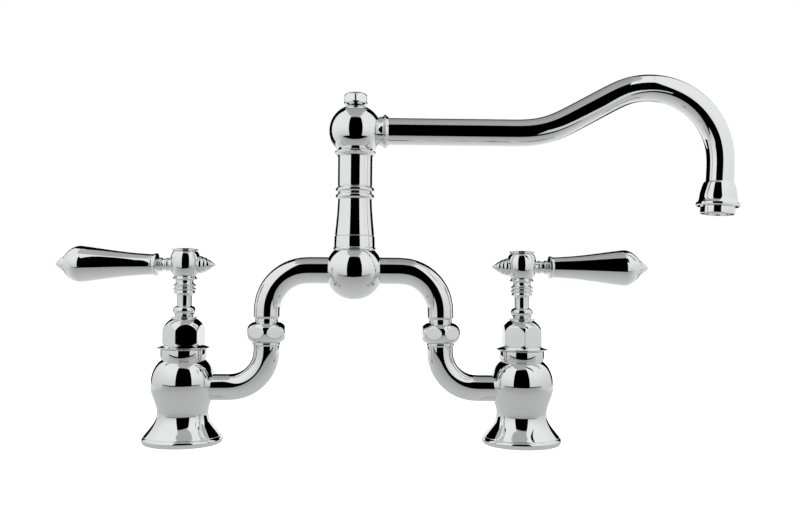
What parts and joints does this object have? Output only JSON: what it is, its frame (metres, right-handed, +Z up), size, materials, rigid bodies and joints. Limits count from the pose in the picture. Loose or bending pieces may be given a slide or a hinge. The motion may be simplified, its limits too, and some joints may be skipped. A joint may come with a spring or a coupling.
{
  "type": "bridge kitchen faucet",
  "caption": "Chrome bridge kitchen faucet with two lever handles, flared bases, an arched bridge, a turned column and a long swinging spout",
  "frame": {"origin": "on the deck, midway between the two tap axes", "axes": "+X along the bridge towards the outlet of the spout, +Z up, -Y towards the user"},
  "size_m": [0.4139, 0.048, 0.2909],
  "materials": {
    "chrome": "polished chrome plate",
    "brass": "machined brass",
    "steel": "plain stainless steel",
    "ceramic": "lapped white ceramic",
    "rubber": "black moulded rubber",
    "plastic": "pale moulded plastic"
  },
  "bodies": {
    "faucet_body": {"left_shank": "brass", "left_valve_body": "chrome", "left_cartridge": "brass", "left_flange_ring": "chrome", "left_bonnet": "chrome", "left_elbow": "chrome", "left_union_nut": "chrome", "left_bridge_arc": "chrome", "right_shank": "brass", "right_valve_body": "chrome", "right_cartridge": "brass", "right_flange_ring": "chrome", "right_bonnet": "chrome", "right_elbow": "chrome", "right_union_nut": "chrome", "right_bridge_arc": "chrome", "base_gaskets": "rubber", "deck_washers": "rubber", "clamp_washers": "steel", "lock_nuts": "brass", "inlet_seals": "rubber", "fixed_discs": "ceramic", "union_washers": "rubber", "bridge_ball": "chrome", "lower_collar": "chrome", "column": "chrome", "riser_tube": "brass", "swivel_seals": "rubber", "glide_washer": "plastic"},
    "left_handle": {"left_moving_disc": "ceramic", "left_spindle": "brass", "left_stem": "chrome", "left_hub": "chrome", "left_handle_cap": "chrome", "left_handle_screw": "steel", "left_lever": "chrome", "left_lever_tip": "chrome", "left_finial": "chrome"},
    "right_handle": {"right_moving_disc": "ceramic", "right_spindle": "brass", "right_stem": "chrome", "right_hub": "chrome", "right_handle_cap": "chrome", "right_handle_screw": "steel", "right_lever": "chrome", "right_lever_tip": "chrome", "right_finial": "chrome"},
    "spout": {"upper_ball": "chrome", "holding_screw": "steel", "top_cap": "chrome", "nozzle_collar": "chrome", "spout_tube": "chrome", "spout_bell": "chrome", "aerator_seal": "rubber", "aerator_housing": "chrome", "aerator_insert": "plastic"}
  },
  "joints": [
    {"name": "left_handle_turn", "type": "hinge", "parent": "faucet_body", "child": "left_handle", "pos_m": [-0.1016, 0, 0.1062], "axis": [0, 0, 1], "range_deg": [0, 90]},
    {"name": "right_handle_turn", "type": "hinge", "parent": "faucet_body", "child": "right_handle", "pos_m": [0.1016, 0, 0.1062], "axis": [0, 0, 1], "range_deg": [-90, 0]},
    {"name": "spout_swivel", "type": "hinge", "parent": "faucet_body", "child": "spout", "pos_m": [0, 0, 0.1882], "axis": [0, 0, 1], "continuous": true}
  ]
}
